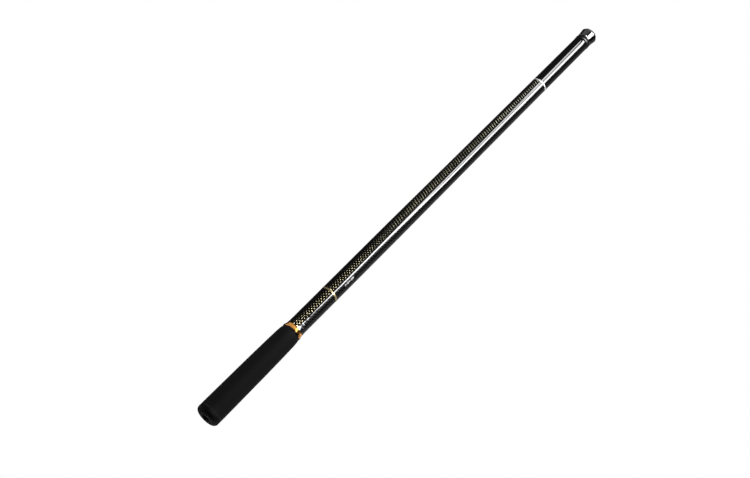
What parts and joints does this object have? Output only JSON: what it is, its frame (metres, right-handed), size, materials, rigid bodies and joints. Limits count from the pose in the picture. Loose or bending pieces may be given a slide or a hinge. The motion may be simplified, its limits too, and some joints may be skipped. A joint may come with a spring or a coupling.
{
  "type": "telescopic pole",
  "caption": "Telescopic pole: tapered carbon tubes that slide out of a foam-gripped butt tube and wedge, with a screw-in butt cap and a threaded metal head.",
  "frame": {"origin": "centre of the butt end face, on the axis of the tubes", "axes": "+Z along the axis from the butt to the head, so the pole stands upright on its butt; +X along the coin slot of the butt plug"},
  "size_m": [0.032, 0.032, 0.7764],
  "materials": {
    "patterned_carbon": "gloss",
    "plain_carbon": "gloss",
    "black_gloss": "gloss",
    "grip_foam": "matte",
    "pad_foam": "matte",
    "black_rubber": "matte",
    "gold_metal": "satin",
    "gold_band": "gloss",
    "silver_band": "gloss",
    "bare_aluminium": "satin",
    "polished_head": "polished"
  },
  "bodies": {
    "handle": {"outer_tube": "patterned_carbon", "foam_grip": "grip_foam", "grip_collar": "gold_metal", "gold_trim_band": "gold_band", "silver_trim_band": "silver_band", "mouth_ring": "black_gloss", "butt_insert": "bare_aluminium"},
    "plug_seal": {"plug_o_ring": "black_rubber"},
    "butt_cap": {"butt_plug": "bare_aluminium", "butt_cap_pad": "black_rubber", "damper_pad": "pad_foam"},
    "section_2": {"section_2_tube": "plain_carbon", "section_2_mouth_ring": "black_gloss", "section_2_trim_band": "gold_band"},
    "section_3": {"section_3_tube": "plain_carbon", "section_3_mouth_ring": "black_gloss", "section_3_trim_band": "gold_band"},
    "section_4": {"section_4_tube": "plain_carbon", "section_4_trim_band": "gold_band", "head_ferrule": "polished_head", "head_seat": "black_rubber"}
  },
  "joints": [
    {"name": "section_2_slide", "type": "slide", "parent": "handle", "child": "section_2", "axis": [0, 0, 1], "range_m": [0, 0.655]},
    {"name": "section_3_slide", "type": "slide", "parent": "section_2", "child": "section_3", "axis": [0, 0, 1], "range_m": [0, 0.651]},
    {"name": "section_4_slide", "type": "slide", "parent": "section_3", "child": "section_4", "axis": [0, 0, 1], "range_m": [0, 0.651]},
    {"name": "cap_travel", "type": "slide", "parent": "handle", "child": "plug_seal", "axis": [0, 0, 1], "range_m": [-0.009, 0]},
    {"name": "cap_turn", "type": "hinge", "parent": "plug_seal", "child": "butt_cap", "pos_m": [0, 0, 0.008], "axis": [0, 0, 1], "range_deg": [-2160, 0]}
  ],
  "couplings": [
    {"joint": "cap_travel", "follows": "cap_turn", "m_per_rad": 0.00023873}
  ]
}
